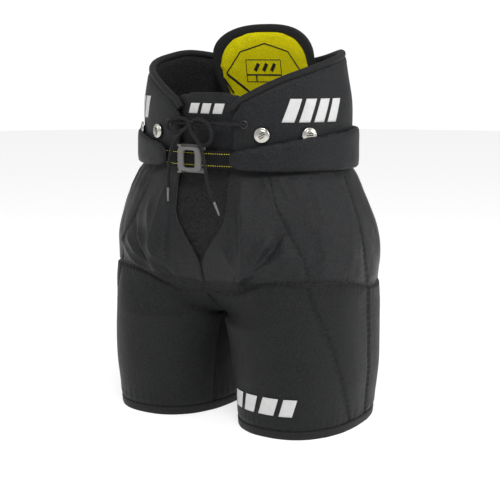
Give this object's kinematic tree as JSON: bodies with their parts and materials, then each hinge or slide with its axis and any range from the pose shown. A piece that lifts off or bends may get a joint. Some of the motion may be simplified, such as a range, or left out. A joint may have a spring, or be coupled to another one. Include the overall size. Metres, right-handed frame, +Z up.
{
  "type": "ice hockey pants",
  "caption": "Black padded hockey pants standing on their hems, with a laced fly, a cinch belt with a cam buckle, hip wraps, brace buttons and a yellow tilting spine guard.",
  "frame": {"origin": "middle of the footprint, on the plane of the two hems", "axes": "+Z up, -Y to the front (the laced fly), +X to the wearer's left"},
  "size_m": [0.3686, 0.2415, 0.5297],
  "materials": {
    "nylon_shell": "black woven nylon with a fine diagonal rib and a soft sheen",
    "binding": "black folded tape and rolled piping",
    "mesh_lining": "matte black knitted mesh over quilted foam",
    "pad_foam": "soft grey-black closed-cell foam, hidden inside the shell",
    "guard_foam": "yellow fabric over moulded foam, with black printed outlines",
    "cap_plastic": "moulded polyethylene, hidden inside the shell",
    "aglet_plastic": "clear wound plastic sheath",
    "webbing": "black woven webbing with two yellow lines of stitching",
    "buckle_plastic": "grey moulded acetal",
    "pin_steel": "plain steel",
    "nickel": null,
    "lace_cotton": "black braided cord"
  },
  "bodies": {
    "hips": {"left_hip_front_panel": "nylon_shell", "left_hip_side_panel": "nylon_shell", "left_hip_back_panel": "nylon_shell", "left_hip_pad": "pad_foam", "left_hip_wrap": "nylon_shell", "left_wrap_piping": "binding", "left_belt_sleeve": "nylon_shell", "left_front_button": "nickel", "left_side_button": "nickel", "left_back_button": "nickel", "left_eyelet": "nickel", "right_hip_front_panel": "nylon_shell", "right_hip_side_panel": "nylon_shell", "right_hip_back_panel": "nylon_shell", "right_hip_pad": "pad_foam", "right_hip_wrap": "nylon_shell", "right_wrap_piping": "binding", "right_belt_sleeve": "nylon_shell", "right_front_button": "nickel", "right_side_button": "nickel", "right_back_button": "nickel", "right_eyelet": "nickel", "crotch_gusset": "nylon_shell", "fly_panel": "mesh_lining", "tailbone_pad": "pad_foam", "waist_core": "mesh_lining", "tongue": "nylon_shell", "anchor_strap": "webbing", "buckle_base": "buckle_plastic", "buckle_pin": "pin_steel", "lace_knot": "lace_cotton", "lace_left_strand": "lace_cotton", "lace_right_strand": "lace_cotton", "lace_left_loop": "lace_cotton", "lace_right_loop": "lace_cotton", "lace_left_end": "lace_cotton", "lace_right_end": "lace_cotton", "left_aglet": "aglet_plastic", "right_aglet": "aglet_plastic"},
    "left_leg": {"left_leg_front_panel": "nylon_shell", "left_leg_side_panel": "nylon_shell", "left_leg_back_panel": "nylon_shell", "left_leg_inner_panel": "nylon_shell", "left_hem_binding": "binding", "left_thigh_cap": "cap_plastic", "left_thigh_foam": "pad_foam", "left_leg_liner": "mesh_lining"},
    "right_leg": {"right_leg_front_panel": "nylon_shell", "right_leg_side_panel": "nylon_shell", "right_leg_back_panel": "nylon_shell", "right_leg_inner_panel": "nylon_shell", "right_hem_binding": "binding", "right_thigh_cap": "cap_plastic", "right_thigh_foam": "pad_foam", "right_leg_liner": "mesh_lining"},
    "spine_guard": {"spine_guard_backing": "binding", "spine_guard_foam": "guard_foam", "spine_guard_binding": "binding"},
    "buckle_lever": {"buckle_lever": "buckle_plastic"},
    "adjusting_strap": {"adjusting_strap": "webbing"}
  },
  "joints": [
    {"name": "left_leg_swing", "type": "hinge", "parent": "hips", "child": "left_leg", "pos_m": [0.097, 0, 0.29], "axis": [-1, 0, 0], "range_deg": [-15, 30]},
    {"name": "right_leg_swing", "type": "hinge", "parent": "hips", "child": "right_leg", "pos_m": [-0.097, 0, 0.29], "axis": [-1, 0, 0], "range_deg": [-15, 30]},
    {"name": "spine_guard_tilt", "type": "hinge", "parent": "hips", "child": "spine_guard", "pos_m": [0, 0.08495, 0.372], "axis": [1, 0, 0], "range_deg": [-8, 20]},
    {"name": "buckle_lever_turn", "type": "hinge", "parent": "hips", "child": "buckle_lever", "pos_m": [-0.0297, -0.1107, 0.351], "axis": [0, 0, -1], "range_deg": [0, 60]},
    {"name": "strap_slide", "type": "hinge", "parent": "hips", "child": "adjusting_strap", "pos_m": [0, 0.114, 0.351], "axis": [0, 0, 1], "range_deg": [-6, 4.5]}
  ]
}
